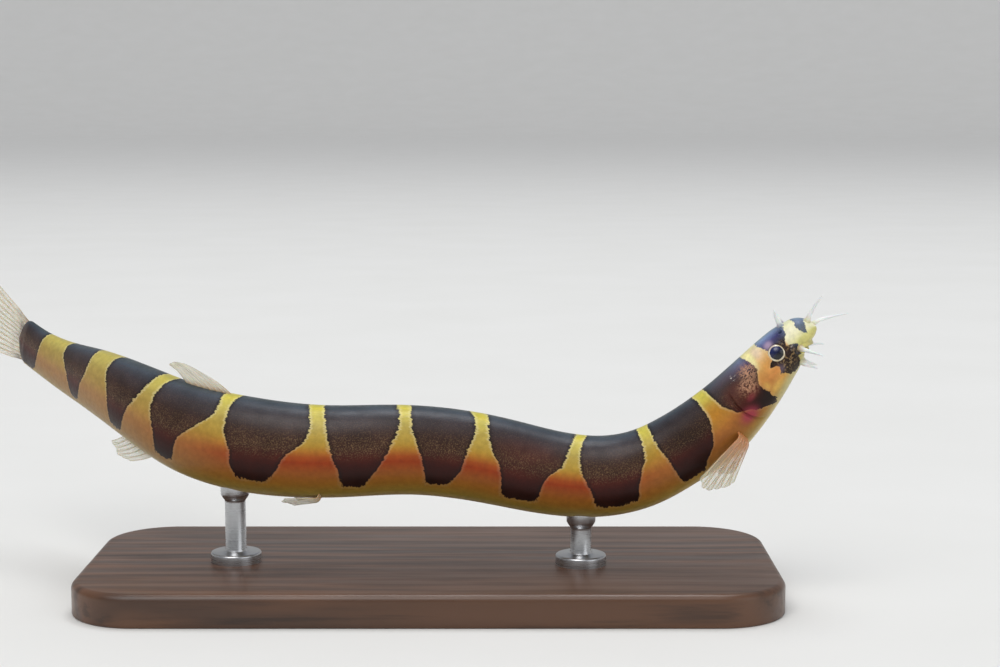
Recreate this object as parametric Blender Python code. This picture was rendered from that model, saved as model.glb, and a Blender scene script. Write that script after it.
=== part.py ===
# Kuhli loach: a still, life-size display model of the fish, held over a flat base by two rods.
# Every named size is in millimetres or degrees; meshes are written in metres.
# The origin is the middle of the base's underside; the fish looks towards +X and up is +Z.
import math

import bmesh
import bpy
from mathutils import Vector

MM = 0.001
GAP = 0.3  # kept between two nodes that touch

# The fish's middle line: where the snout is, then how each length of the fish is turned
SNOUT = Vector((32.6, -4.5, 23.8))
BENDS = [  # from the snout, pitch, yaw
    (0, 38, -8), (3, 45, -9), (8, 50, -9), (12, 43, -8), (16, 32, -7), (20, 16, -5), (25, -4, -3),
    (30, -13, 0), (36, -7, 4), (43, 1, 2), (50, -3, -8), (56, -9, -22), (62, -15, -34),
    (68, -13, -43), (75, -8, -47), (80, -11, -46), (85, -17, -45), (94, -20, -40),
]
STEP = 0.25  # length of spine walked between two points of the middle line
BODY_LENGTH = 85.0  # snout to the root of the tail fin
TOTAL_LENGTH = 94.0

# The body's outline along that line
OUTLINE = [  # from the snout, back above the line, belly below it, half width
    (0, 1.7, 0.65, 1.25), (1.6, 1.9, 0.9, 1.5), (2.9, 2.2, 1.55, 1.7), (4.4, 2.35, 2.0, 1.85),
    (6.5, 2.55, 2.45, 2.1), (9.5, 2.9, 2.85, 2.4), (12.5, 3.2, 3.1, 2.55), (16, 3.4, 3.0, 2.6),
    (20, 3.4, 3.35, 2.7), (25, 3.5, 3.6, 2.8), (32, 3.7, 3.85, 2.9), (40, 3.9, 3.8, 2.95),
    (47, 3.95, 4.0, 3.05), (54, 4.1, 4.15, 3.0), (60, 3.85, 4.05, 2.8), (66, 3.5, 3.55, 2.4),
    (72, 3.0, 3.05, 1.9), (78, 2.4, 2.5, 1.35), (82, 2.2, 2.2, 0.95), (85, 2.25, 2.15, 0.6),
]
SNOUT_ROUND = 1.6  # the blunt snout rounds off over this length
SQUARENESS = 2.2  # 2 is an ellipse; more fills the section out

# Where the long body is parted
HEAD_END = 9.7
PARTINGS = {
    "body_front": (HEAD_END, 28.0),
    "body_mid": (28.0, 44.0),
    "body_rear": (44.0, 61.5),
    "tail": (61.5, BODY_LENGTH),
}
BODY_SIDES = 28
BODY_RING = 1.25
HEAD_SIDES = 52
HEAD_RING = 0.3
FINE_RING = 0.12
FINE_RINGS = ((0.75, 2.35), (8.5, 9.6))  # closer rings across the lips and the gill cover's edge

# The head's own forms
MOUTH_AT = 1.45  # the mouth's middle, under the snout
MOUTH_CORNER = {"back": 0.95, "turn": 62}  # how far behind that and how far round its corners lie
UPPER_LIP = {"ahead": 0.3, "height": 0.13, "width": 0.18}
LOWER_LIP = {"behind": 0.32, "height": 0.15, "width": 0.19}
MOUTH_LINE = {"depth": 0.16, "width": 0.12}
CHIN_FOLD = {"behind": 0.75, "depth": 0.08, "width": 0.2}
GILL_AT = 9.15  # the rear edge of the gill cover at its furthest back
GILL_TURN = 82
GILL_SPAN = 58  # degrees round, either way, over which the cover stands free
GILL_CURVE = 1.1  # how much further forward the edge lies at the ends of that span
GILL_BULGE = 0.15
GILL_GROOVE = 0.12
NOSTRIL = {"at": 2.45, "turn": 136, "radius": 0.17, "depth": 0.3}

EYE_AT = 3.75
EYE_TURN = 99  # degrees round from the middle of the belly
EYE_RADIUS = 0.78
EYE_FLATNESS = 0.76
EYE_PROUD = 0.3  # how far the eye stands out of the skin

# Fins: membranes with a row of rays
MEMBRANE = 0.25  # half the thickness
RAY_RIDGE = 0.12  # how far a ray stands out of each face
FIN_ROWS = 6
DORSAL = {"start": 55.5, "end": 60.7, "turn": 180, "lean": (24, 2),
          "lengths": (5.2, 5.6, 5.5, 5.1, 4.6, 4.0, 3.4, 2.8)}
ANAL = {"start": 62.7, "end": 67.2, "turn": 0, "lean": (34, 22),
        "lengths": (3.9, 4.5, 4.4, 4.0, 3.6, 3.1, 2.6)}
CAUDAL = {"rays": 13, "spread": 12, "length": 8.9, "notch": 0.5, "margin": 0.3}
# The paired fins fold back by "fold" degrees, within "bend" of the skin
PECTORAL = {"at": 10.75, "turn": 48, "fold": 76, "bend": 1.0, "spread": 15, "base": 1.3,
            "lengths": (5.6, 6.0, 5.8, 5.3, 4.7, 4.0)}
PELVIC = {"at": 47.2, "turn": 26, "fold": 86, "bend": 0.7, "spread": 12, "base": 0.9,
          "lengths": (3.2, 3.5, 3.3, 3.0, 2.6)}

# Barbels: where each root is, the way it points (forward, outward, up) and its length
BARBELS = {
    "rostral_barbel_right": {"at": 0.3, "turn": 138, "way": (0.93, 0.2, 0.37), "length": 2.4},
    "rostral_barbel_left": {"at": 0.3, "turn": -85, "way": (0.87, 0.34, -0.42), "length": 3.3},
    "maxillary_barbel_right": {"at": 2.1, "turn": 58, "way": (0.5, 0.5, -0.7), "length": 2.2},
    "maxillary_barbel_left": {"at": 2.1, "turn": -58, "way": (0.6, 0.6, -0.6), "length": 2.3},
    "mandibular_barbel_right": {"at": 2.9, "turn": 24, "way": (0.5, 0.15, -0.85), "length": 1.2},
    "mandibular_barbel_left": {"at": 2.9, "turn": -24, "way": (0.45, 0.2, -0.85), "length": 1.2},
    "nasal_barbel_right": {"at": 2.15, "turn": 155, "way": (0.22, 0.25, 0.95), "length": 1.2},
    "nasal_barbel_left": {"at": 2.15, "turn": -155, "way": (0.22, 0.2, 0.95), "length": 1.2},
}
BARBEL_RADIUS = 0.29
BARBEL_BEND = 0.35  # share of the length over which it turns from the skin to its own way
BARBEL_SIDES = 8
BARBEL_RINGS = 7
BARBEL_TIP = 0.28  # the tip's radius, as a share of the root's
BARBEL_TAPER = 1.6  # 1 tapers evenly; more keeps the thickness longer

# The stand
BASE = {"length": 60.0, "width": 26.0, "height": 2.8, "corner": 6.0, "edge": 0.6}
ROD_RADIUS = 0.9
COLLAR_RADIUS = 2.2
COLLAR_HEIGHT = 0.9
RODS = {"stand_rod_front": 13.0, "stand_rod_rear": -17.0}  # place along the base

FLESH = (0.36, 0.17, 0.08)
FIN = (0.78, 0.72, 0.58)
BARBEL = (0.82, 0.78, 0.7)
EYE = (0.01, 0.012, 0.02)
WALNUT = (0.12, 0.055, 0.025)
STEEL = (0.55, 0.55, 0.55)


def curve(table, at):
    """The row of a table at a place between its rows, on a smooth curve through them."""
    places = [row[0] for row in table]
    at = min(max(at, places[0]), places[-1])
    low = max(i for i in range(len(table) - 1) if places[i] <= at)
    span = places[low + 1] - places[low]
    t = (at - places[low]) / span
    row = []
    for column in range(1, len(table[0])):
        slopes = []
        for i in (low, low + 1):
            before, after = max(i - 1, 0), min(i + 1, len(table) - 1)
            rise = table[after][column] - table[before][column]
            slopes.append(rise / (places[after] - places[before]) * span)
        start, end = table[low][column], table[low + 1][column]
        row.append(
            start * (2 * t**3 - 3 * t**2 + 1)
            + slopes[0] * (t**3 - 2 * t**2 + t)
            + end * (3 * t**2 - 2 * t**3)
            + slopes[1] * (t**3 - t**2)
        )
    return row


def heading(at):
    """The way the fish faces at a place along it."""
    pitch, yaw = (math.radians(angle) for angle in curve(BENDS, at))
    return Vector((math.cos(pitch) * math.cos(yaw), math.cos(pitch) * math.sin(yaw), math.sin(pitch)))


def middle_line():
    """Points along the fish, a step apart, walked back from the snout."""
    points = [SNOUT]
    for i in range(math.ceil(TOTAL_LENGTH / STEP) + 2):
        points.append(points[-1] - heading((i + 0.5) * STEP) * STEP)
    return points


LINE = middle_line()


def frame_at(at):
    """The middle line's point at a place, and the fish's forward, right and up directions there."""
    place = max(at / STEP, 0.0)
    i = min(int(place), len(LINE) - 2)
    point = LINE[i].lerp(LINE[i + 1], place - i)
    forward = heading(at)
    right = forward.cross(Vector((0, 0, 1))).normalized()
    return point, forward, right, right.cross(forward)


def outline_at(at):
    """Back, belly and half width at a place, rounded off at the snout."""
    short = 1 - min(max(at, 0.0), SNOUT_ROUND) / SNOUT_ROUND
    rounding = math.sqrt(1 - short**2)
    return [size * rounding for size in curve(OUTLINE, at)]


def power(value):
    """Fills a section out towards a square."""
    return math.copysign(abs(value) ** (2 / SQUARENESS), value)


def skin_point(at, turn, lift=0.0):
    """A point of the skin: turn runs from 0 at the belly by 90 on the right flank to 180 on the back."""
    point, _, right, up = frame_at(at)
    back, belly, half = outline_at(at)
    middle, height = (back - belly) / 2, (back + belly) / 2
    angle = math.radians(turn)
    across, rise = math.sin(angle), -math.cos(angle)
    skin = point + right * (half * power(across)) + up * (middle + height * power(rise))
    return skin + skin_normal(at, turn) * (lift + head_relief(at, turn))


def bump(distance, width):
    """A smooth hump, 1 at its middle."""
    return math.exp(-((distance / width) ** 2))


def fade(value, start, end):
    """1 before start, 0 past end, and smooth between."""
    t = min(max((value - start) / (end - start), 0.0), 1.0)
    return 1 - t * t * (3 - 2 * t)


def from_belly(turn):
    """Degrees from the middle of the belly, the same on both flanks."""
    return abs((turn + 180) % 360 - 180)


def mouth_curve(turn):
    """How much further back than its middle the line of the mouth lies, and past its corners not at all."""
    corner = MOUTH_CORNER["turn"]
    share = min(from_belly(turn) / corner, 1.1)
    return MOUTH_CORNER["back"] * share**2 * fade(from_belly(turn), corner + 6, 130)


def gill_curve(turn):
    """How much further forward than its rearmost point the edge of the gill cover lies."""
    share = (from_belly(turn) - GILL_TURN) / GILL_SPAN
    return GILL_CURVE * min(share**2, 1.0)


def bent(at, turn):
    """Where a ring of the head passes, so that rings run along the mouth and the gill cover's edge."""
    mouth = fade(MOUTH_AT - at, 0.5, MOUTH_AT) * fade(at - MOUTH_AT, 0.9, 3.3)
    gill = fade(GILL_AT - at, 0.6, 3.2) * fade(at - GILL_AT, 0.2, HEAD_END - GAP / 2 - GILL_AT)
    return at + mouth * mouth_curve(turn) - gill * gill_curve(turn)


def head_relief(at, turn):
    """How far the lips, the line of the mouth and the gill covers stand out of the plain head."""
    if at > HEAD_END - GAP / 2:
        return 0.0
    corner = MOUTH_CORNER["turn"]
    along = at - MOUTH_AT - mouth_curve(turn)
    lips = UPPER_LIP["height"] * bump(along + UPPER_LIP["ahead"], UPPER_LIP["width"])
    lips += LOWER_LIP["height"] * bump(along - LOWER_LIP["behind"], LOWER_LIP["width"])
    lips -= MOUTH_LINE["depth"] * bump(along, MOUTH_LINE["width"])
    lips -= CHIN_FOLD["depth"] * bump(along - CHIN_FOLD["behind"], CHIN_FOLD["width"])
    lips *= fade(from_belly(turn), corner - 10, corner + 12)
    past = at - GILL_AT + gill_curve(turn)
    step = fade(past, -0.06, 0.14)
    cover = GILL_BULGE * step * fade(-past, 0.1, 3.0) - GILL_GROOVE * (1 - step) * fade(past, 0.14, 0.4)
    cover *= fade(abs(from_belly(turn) - GILL_TURN), 0.7 * GILL_SPAN, GILL_SPAN)
    return lips + cover


def skin_normal(at, turn):
    """The way out of the skin there, leaning with the taper of the body."""
    _, forward, right, up = frame_at(at)
    back, belly, half = outline_at(at)
    height = (back + belly) / 2
    angle = math.radians(turn)
    way = 2 - 2 / SQUARENESS
    across = math.copysign(abs(math.sin(angle)) ** way, math.sin(angle)) / max(half, 0.01)
    rise = math.copysign(abs(math.cos(angle)) ** way, -math.cos(angle)) / max(height, 0.01)
    flat = (right * across + up * rise).normalized()
    ahead, behind = outline_at(at - 0.2), outline_at(at + 0.2)
    swell = (sum(behind) - sum(ahead)) / 3 / 0.4
    return (flat + forward * swell).normalized()


def new_object(name, bm, colour, roughness, metallic=0.0, sharp=40):
    """A named object from a closed mesh in millimetres, with a material of its own."""
    bmesh.ops.recalc_face_normals(bm, faces=bm.faces)
    bmesh.ops.scale(bm, vec=(MM, MM, MM), verts=bm.verts)
    mesh = bpy.data.meshes.new(name)
    bm.to_mesh(mesh)
    bm.free()
    mesh.shade_smooth()
    mesh.set_sharp_from_angle(angle=math.radians(sharp))
    thing = bpy.data.objects.new(name, mesh)
    bpy.context.scene.collection.objects.link(thing)
    material = bpy.data.materials.new(name)
    material.use_nodes = True
    shader = material.node_tree.nodes["Principled BSDF"]
    shader.inputs["Base Color"].default_value = (*colour, 1)
    shader.inputs["Roughness"].default_value = roughness
    shader.inputs["Metallic"].default_value = metallic
    mesh.materials.append(material)
    return thing


def loft(sides, rings):
    """A closed tube through rings of points, extruded ring by ring."""
    bm = bmesh.new()
    slot = bm.verts.layers.int.new("slot")
    bmesh.ops.create_circle(bm, cap_ends=True, radius=1, segments=sides)
    bm.verts.ensure_lookup_table()
    for i, vert in enumerate(bm.verts):
        vert[slot] = i
    face = bm.faces[:][0]
    for number, ring in enumerate(rings):
        if number:
            made = bmesh.ops.extrude_face_region(bm, geom=[face])["geom"]
            if number > 1:
                bmesh.ops.delete(bm, geom=[face], context="FACES_ONLY")
            face = next(item for item in made if isinstance(item, bmesh.types.BMFace))
        for vert in face.verts:
            vert.co = ring[vert[slot]]
    return bm, face


def make_body_length(name, start, end):
    """One length of the body between two thin cuts."""
    start, end = start + GAP / 2, end - GAP / 2
    count = math.ceil((end - start) / BODY_RING)
    places = [start + (end - start) * i / count for i in range(count + 1)]
    turns = [360 * i / BODY_SIDES for i in range(BODY_SIDES)]
    bm, _ = loft(BODY_SIDES, [[skin_point(at, turn) for turn in turns] for at in places])
    return new_object(name, bm, FLESH, 0.4)


def make_head():
    """The head up to the rear edge of the gill opening, with a socket for each eye."""
    places = [HEAD_END - GAP / 2]
    while places[-1] > 0.12:
        fine = any(start < places[-1] < end for start, end in FINE_RINGS)
        ring = FINE_RING if fine else HEAD_RING
        places.append(places[-1] - min(ring, places[-1] * 0.3 + 0.02))
    turns = [360 * i / HEAD_SIDES for i in range(HEAD_SIDES)]
    rings = [[skin_point(bent(at, turn), turn) for turn in turns] for at in places]
    bm, face = loft(HEAD_SIDES, rings)
    tip = bmesh.ops.poke(bm, faces=[face])["verts"][0]
    tip.co = SNOUT
    head = new_object("head", bm, FLESH, 0.4)
    for side in (1, -1):
        for shape in (eye_ball(side, GAP), nostril(side)):
            cutter = new_object("cutter", shape, FLESH, 0.4)
            cut = head.modifiers.new("cut", "BOOLEAN")
            cut.object = cutter
            cut.solver = "EXACT"
            apply_modifiers(head)
            bpy.data.objects.remove(cutter)
    return head


def nostril(side):
    """A small round pit, widest at the skin."""
    turn = NOSTRIL["turn"] * side
    outward = skin_normal(NOSTRIL["at"], turn)
    depth = NOSTRIL["depth"]
    bm = bmesh.new()
    bmesh.ops.create_cone(
        bm, cap_ends=True, segments=10, radius1=NOSTRIL["radius"] / 2, radius2=NOSTRIL["radius"] * 1.3,
        depth=2 * depth,
    )
    bmesh.ops.rotate(bm, matrix=outward.to_track_quat("Z", "Y").to_matrix(), verts=bm.verts)
    bmesh.ops.translate(bm, vec=skin_point(NOSTRIL["at"], turn), verts=bm.verts)
    return bm


def apply_modifiers(thing):
    """Bakes an object's modifiers into its mesh."""
    graph = bpy.context.evaluated_depsgraph_get()
    mesh = bpy.data.meshes.new_from_object(thing.evaluated_get(graph))
    thing.modifiers.clear()
    thing.data = mesh


def eye_ball(side, spare=0.0):
    """A flattened ball set in the side of the head; spare makes it larger all round."""
    turn = EYE_TURN * side
    outward = skin_normal(EYE_AT, turn)
    sink = EYE_RADIUS * EYE_FLATNESS - EYE_PROUD
    centre = skin_point(EYE_AT, turn) - outward * sink
    radius = EYE_RADIUS + spare
    depth = EYE_RADIUS * EYE_FLATNESS + spare
    bm = bmesh.new()
    bmesh.ops.create_uvsphere(bm, u_segments=20, v_segments=12, radius=1)
    bmesh.ops.scale(bm, vec=(radius, radius, depth), verts=bm.verts)
    turned = outward.to_track_quat("Z", "Y").to_matrix()
    bmesh.ops.rotate(bm, matrix=turned, verts=bm.verts)
    bmesh.ops.translate(bm, vec=centre, verts=bm.verts)
    return bm


def make_eye(name, side):
    return new_object(name, eye_ball(side), EYE, 0.15)


def sheet(columns, rows, place):
    """A thin closed piece whose two faces are split alike; place gives each point of a face."""
    bm = bmesh.new()
    column = bm.verts.layers.int.new("column")
    row = bm.verts.layers.int.new("row")
    bmesh.ops.create_grid(bm, x_segments=columns, y_segments=rows, size=0.5)
    for vert in bm.verts:
        vert[column] = round((vert.co.x + 0.5) * columns)
        vert[row] = round((vert.co.y + 0.5) * rows)
    bmesh.ops.triangulate(bm, faces=bm.faces, quad_method="FIXED")
    made = bmesh.ops.extrude_face_region(bm, geom=bm.faces[:])["geom"]
    near = {item for item in made if isinstance(item, bmesh.types.BMVert)}
    for vert in bm.verts:
        vert.co = place(vert[column], vert[row] / rows, 1 if vert in near else -1)
    bmesh.ops.triangulate(bm, faces=bm.faces)
    return bm


def fin_thickness(column, reach):
    """Half the fin's thickness: rays on the even columns, thinner at the margin."""
    ridge = RAY_RIDGE if column % 2 == 0 else 0.0
    return (MEMBRANE + ridge) * (1 - 0.4 * reach**4)


def between(values, place):
    """A value of a list at a place that may lie between two of them."""
    low = min(int(place), len(values) - 2)
    return values[low] + (values[low + 1] - values[low]) * (place - low)


def make_median_fin(name, fin):
    """A dorsal or anal fin, its root along the body's edge and its rays laid back."""
    rays = len(fin["lengths"])
    root_lean, tip_lean = (math.radians(angle) for angle in fin["lean"])

    def place(column, reach, face):
        ray = column / 2
        start = fin["start"] + (fin["end"] - fin["start"]) * ray / (rays - 1)
        length = between(fin["lengths"], ray) * reach
        lean = root_lean + (tip_lean - root_lean) * reach / 2
        at = start + length * math.cos(lean)
        _, _, right, _ = frame_at(at)
        lift = GAP + length * math.sin(lean)
        return skin_point(at, fin["turn"], lift) + right * (face * fin_thickness(column, reach))

    return new_object(name, sheet(2 * (rays - 1), FIN_ROWS, place), FIN, 0.35)


def make_caudal_fin():
    """The tail fin, a fan of rays from the upright end of the body to a shallowly notched margin."""
    rays = CAUDAL["rays"]
    root = BODY_LENGTH + GAP / 2

    def place(column, reach, face):
        share = column / (rays - 1) - 1
        back, belly, _ = outline_at(BODY_LENGTH)
        foot = (back - belly) / 2 + share * ((back + belly) / 2 - CAUDAL["margin"])
        length = CAUDAL["length"] * (1 - 0.04 * share**2) - CAUDAL["notch"] * (1 - abs(share)) ** 2
        angle = math.radians(CAUDAL["spread"]) * share
        run = length * reach
        point, _, right, up = frame_at(root + run * math.cos(angle))
        height = foot + run * math.sin(angle)
        thick = fin_thickness(column, reach) * (1 + 0.5 * (1 - reach) ** 2)
        return point + up * height + right * (face * thick)

    return new_object("caudal_fin", sheet(2 * (rays - 1), FIN_ROWS + 2, place), FIN, 0.35)


def make_paired_fin(name, fin, side):
    """A pectoral or pelvic fin: out of the skin at its root, then folded back along the body."""
    rays = len(fin["lengths"])
    turn = fin["turn"] * side
    root = skin_point(fin["at"], turn, GAP)
    outward = skin_normal(fin["at"], turn)
    _, forward, _, _ = frame_at(fin["at"])
    backward = (-forward - outward * (-forward).dot(outward)).normalized()
    across = outward.cross(backward) * side
    steps = 12

    def folded(length):
        """How far out and back a ray has gone after a length."""
        out = back = 0.0
        for i in range(steps):
            t = min((i + 0.5) / steps * length / fin["bend"], 1.0)
            angle = math.radians(fin["fold"]) * t * t * (3 - 2 * t)
            out += math.cos(angle) * length / steps
            back += math.sin(angle) * length / steps
        return out, back, math.radians(fin["fold"]) * min(length / fin["bend"], 1.0)

    def place(column, reach, face):
        ray = column / 2
        share = ray / (rays - 1) - 0.5
        out, back, angle = folded(between(fin["lengths"], ray) * reach)
        fan = math.radians(fin["spread"]) * 2 * share
        middle = root + outward * out + backward * (back * math.cos(fan))
        middle += across * (share * fin["base"] + back * math.sin(fan))
        thin = backward * math.cos(angle) - outward * math.sin(angle)
        return middle + thin * (face * fin_thickness(column, reach))

    return new_object(name, sheet(2 * (rays - 1), FIN_ROWS, place), FIN, 0.35)


def make_barbel(name, barbel):
    """A tapered feeler, out of the skin at its root and then bent the way it points."""
    turn = barbel["turn"]
    side = math.copysign(1, turn)
    outward = skin_normal(barbel["at"], turn)
    _, forward, right, up = frame_at(barbel["at"])
    ahead, aside, rise = barbel["way"]
    way = (forward * ahead + right * (aside * side) + up * rise).normalized()
    centre = skin_point(barbel["at"], turn, GAP)
    step = barbel["length"] / (BARBEL_RINGS - 1)
    rings = []
    for number in range(BARBEL_RINGS):
        share = number / (BARBEL_RINGS - 1)
        bent = min(share / BARBEL_BEND, 1.0)
        facing = (outward * (1 - bent) + way * bent).normalized()
        if number:
            centre = centre + facing * step
        radius = BARBEL_RADIUS * (1 - (1 - BARBEL_TIP) * share**BARBEL_TAPER)
        first = facing.cross(up).normalized()
        second = facing.cross(first)
        turns = [2 * math.pi * i / BARBEL_SIDES for i in range(BARBEL_SIDES)]
        rings.append([
            centre + first * (radius * math.cos(a)) + second * (radius * math.sin(a)) for a in turns
        ])
    bm, _ = loft(BARBEL_SIDES, rings)
    return new_object(name, bm, BARBEL, 0.35)


def make_base():
    """A flat plate with rounded corners and a softened top edge, its underside on the floor."""
    bm = bmesh.new()
    bmesh.ops.create_cube(bm, size=1)
    bmesh.ops.translate(bm, vec=(0, 0, 0.5), verts=bm.verts)
    bmesh.ops.scale(bm, vec=(BASE["length"], BASE["width"], BASE["height"]), verts=bm.verts)
    uprights = [e for e in bm.edges if abs(e.verts[0].co.z - e.verts[1].co.z) > 1]
    bmesh.ops.bevel(
        bm, geom=uprights, offset=BASE["corner"], segments=7, profile=0.5, affect="EDGES", material=-1
    )
    rim = [e for e in bm.edges if min(v.co.z for v in e.verts) > BASE["height"] - 0.01]
    bmesh.ops.bevel(
        bm, geom=rim, offset=BASE["edge"], segments=2, profile=0.5, affect="EDGES", material=-1
    )
    return new_object("stand_base", bm, WALNUT, 0.45)


def belly_over(place):
    """The belly's underside over a place along the base."""
    low, high = HEAD_END, BODY_LENGTH
    for _ in range(40):
        middle = (low + high) / 2
        if skin_point(middle, 0).x > place:
            low = middle
        else:
            high = middle
    return skin_point(low, 0)


def make_rod(name, place):
    """A turned rod with a collar at its foot, up to just under the belly."""
    top = belly_over(place)
    foot, end = BASE["height"] + GAP, top.z - GAP
    softening = 0.25
    profile = [
        (0, foot), (COLLAR_RADIUS, foot), (COLLAR_RADIUS, foot + COLLAR_HEIGHT - softening),
        (COLLAR_RADIUS - softening, foot + COLLAR_HEIGHT), (ROD_RADIUS, foot + COLLAR_HEIGHT),
        (ROD_RADIUS, end), (0, end),
    ]
    bm = bmesh.new()
    verts = [bm.verts.new((radius, 0, height)) for radius, height in profile]
    edges = [bm.edges.new(pair) for pair in zip(verts, verts[1:])]
    bmesh.ops.spin(
        bm, geom=verts + edges, cent=(0, 0, 0), axis=(0, 0, 1), angle=math.tau, steps=20, use_merge=True
    )
    bmesh.ops.remove_doubles(bm, verts=bm.verts, dist=0.001)
    bmesh.ops.translate(bm, vec=(place, top.y, 0), verts=bm.verts)
    return new_object(name, bm, STEEL, 0.3, 1.0)


def main():
    for thing in list(bpy.data.objects):
        bpy.data.objects.remove(thing)
    make_head()
    for name, (start, end) in PARTINGS.items():
        make_body_length(name, start, end)
    make_median_fin("dorsal_fin", DORSAL)
    make_median_fin("anal_fin", ANAL)
    make_caudal_fin()
    for side, word in ((1, "right"), (-1, "left")):
        make_eye("eye_" + word, side)
        make_paired_fin("pectoral_fin_" + word, PECTORAL, side)
        make_paired_fin("pelvic_fin_" + word, PELVIC, side)
    for name, barbel in BARBELS.items():
        make_barbel(name, barbel)
    make_base()
    for name, place in RODS.items():
        make_rod(name, place)


if __name__ == "__main__":
    main()
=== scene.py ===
import math

import bmesh
import bpy
import numpy as np
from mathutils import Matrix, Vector


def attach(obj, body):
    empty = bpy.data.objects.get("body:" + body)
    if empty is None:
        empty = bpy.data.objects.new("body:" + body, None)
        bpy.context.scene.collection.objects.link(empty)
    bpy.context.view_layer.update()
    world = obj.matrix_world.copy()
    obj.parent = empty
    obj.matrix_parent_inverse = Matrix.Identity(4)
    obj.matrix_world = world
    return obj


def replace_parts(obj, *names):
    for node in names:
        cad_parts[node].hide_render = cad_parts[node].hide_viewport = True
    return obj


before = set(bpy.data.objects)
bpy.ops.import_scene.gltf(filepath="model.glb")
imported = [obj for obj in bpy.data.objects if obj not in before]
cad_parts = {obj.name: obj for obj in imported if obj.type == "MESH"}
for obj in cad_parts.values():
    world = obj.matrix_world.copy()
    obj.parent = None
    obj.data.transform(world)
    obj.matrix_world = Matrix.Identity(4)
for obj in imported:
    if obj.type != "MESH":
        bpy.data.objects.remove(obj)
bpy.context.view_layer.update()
MM = 0.001

# The fish's middle line and outline, as the solids have them
SNOUT = (32.6, -4.5, 23.8)
BENDS = [  # from the snout, pitch, yaw
    (0, 38, -8), (3, 45, -9), (8, 50, -9), (12, 43, -8), (16, 32, -7), (20, 16, -5), (25, -4, -3),
    (30, -13, 0), (36, -7, 4), (43, 1, 2), (50, -3, -8), (56, -9, -22), (62, -15, -34),
    (68, -13, -43), (75, -8, -47), (80, -11, -46), (85, -17, -45), (94, -20, -40),
]
STEP = 0.25  # length of spine walked between two points of the middle line
BODY_LENGTH = 85.0
TOTAL_LENGTH = 94.0
OUTLINE = [  # from the snout, back above the line, belly below it, half width
    (0, 1.7, 0.65, 1.25), (1.6, 1.9, 0.9, 1.5), (2.9, 2.2, 1.55, 1.7), (4.4, 2.35, 2.0, 1.85),
    (6.5, 2.55, 2.45, 2.1), (9.5, 2.9, 2.85, 2.4), (12.5, 3.2, 3.1, 2.55), (16, 3.4, 3.0, 2.6),
    (20, 3.4, 3.35, 2.7), (25, 3.5, 3.6, 2.8), (32, 3.7, 3.85, 2.9), (40, 3.9, 3.8, 2.95),
    (47, 3.95, 4.0, 3.05), (54, 4.1, 4.15, 3.0), (60, 3.85, 4.05, 2.8), (66, 3.5, 3.55, 2.4),
    (72, 3.0, 3.05, 1.9), (78, 2.4, 2.5, 1.35), (82, 2.2, 2.2, 0.95), (85, 2.25, 2.15, 0.6),
]
SNOUT_ROUND = 1.6
SIDES = {"right": 1, "left": -1}
SQUARENESS = 2.2
FACE_END = 6.0
HEAD_END = 9.7

# The head's own forms
MOUTH_AT = 1.45
MOUTH_CORNER = {"back": 0.95, "turn": 62}
MOUTH_FORMS = {  # how far behind the line of the mouth each lies, its height and its width
    "upper lip": (-0.27, 0.17, 0.16), "fold over it": (-0.6, -0.06, 0.12), "line": (0, -0.26, 0.08),
    "lower lip": (0.3, 0.2, 0.17), "chin fold": (0.68, -0.12, 0.15),
}
PAPILLAE = {"height": 0.32, "count": 36}
GILL_AT = 9.15
GILL_TURN = 82
GILL_SPAN = 58
GILL_CURVE = 1.1
GILL_BULGE = 0.15
GILL_GROOVE = 0.14
NOSTRIL = {"at": 2.45, "turn": 136, "radius": 0.13, "depth": 0.3, "rim": 0.06}
CHEEK_GROOVE = {"turn": 80, "start": 2.9, "end": 4.7, "depth": 0.05, "width": 0.05}
HEAD_DEGREE = 0.034  # the breadth of a degree of turn on the cheek
EYE_AT = 3.75
EYE_TURN = 99
EYE_RADIUS = 0.79
EYE_FLATNESS = 0.76
EYE_PROUD = 0.31
EYE_RIM = {"radius": 0.8, "height": 0.05, "width": 0.09}
EYE_SOCKET = {"depth": 0.25, "floor": 0.45, "wall": 0.7}  # the skin sinks away under the ball
EYE_SEGMENTS = 64
PUPIL_RADIUS = 0.575
IRIS_RADIUS = 0.705
IRIS_SUNK = 0.02

# How finely the skin is divided: how far from the snout each stretch ends, and its rings' spacing
SKIN_SIDES = 180
SNOUT_RINGS = 26
SKIN_RINGS = [(5.3, 0.045), (8.5, 0.09), (9.9, 0.05), (84.6, 0.29)]
TAIL_END = {"end": 86.5, "rings": 20, "thick": 0.3}  # the fleshy lobe over the tail fin's root

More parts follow.
